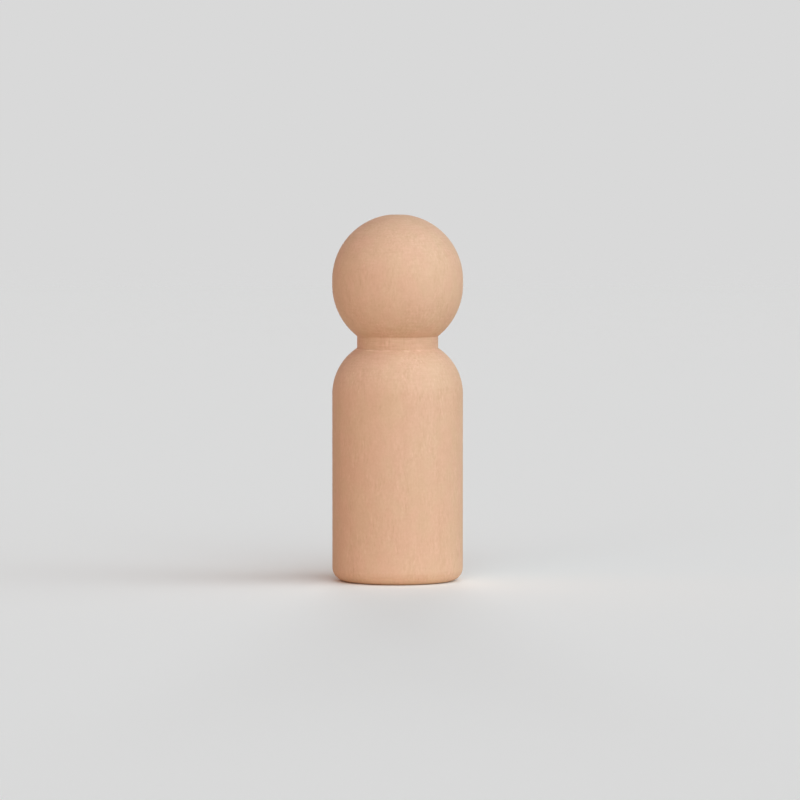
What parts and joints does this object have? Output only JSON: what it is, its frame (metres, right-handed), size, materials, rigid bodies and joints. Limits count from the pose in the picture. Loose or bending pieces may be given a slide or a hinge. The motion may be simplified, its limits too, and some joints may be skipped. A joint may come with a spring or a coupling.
{
  "type": "peg doll",
  "caption": "Turned wooden peg doll: a ball head on a short straight neck over a barrel body with round shoulders and a flat base.",
  "frame": {"origin": "middle of the flat base, on the turning axis", "axes": "+Z along the turning axis, from the base up to the crown; X and Y are any pair across it, because the doll is round"},
  "size_m": [0.0153, 0.0152, 0.0429],
  "materials": {
    "wood": "matte"
  },
  "bodies": {
    "root": {"turned_doll": "wood"}
  },
  "joints": []
}
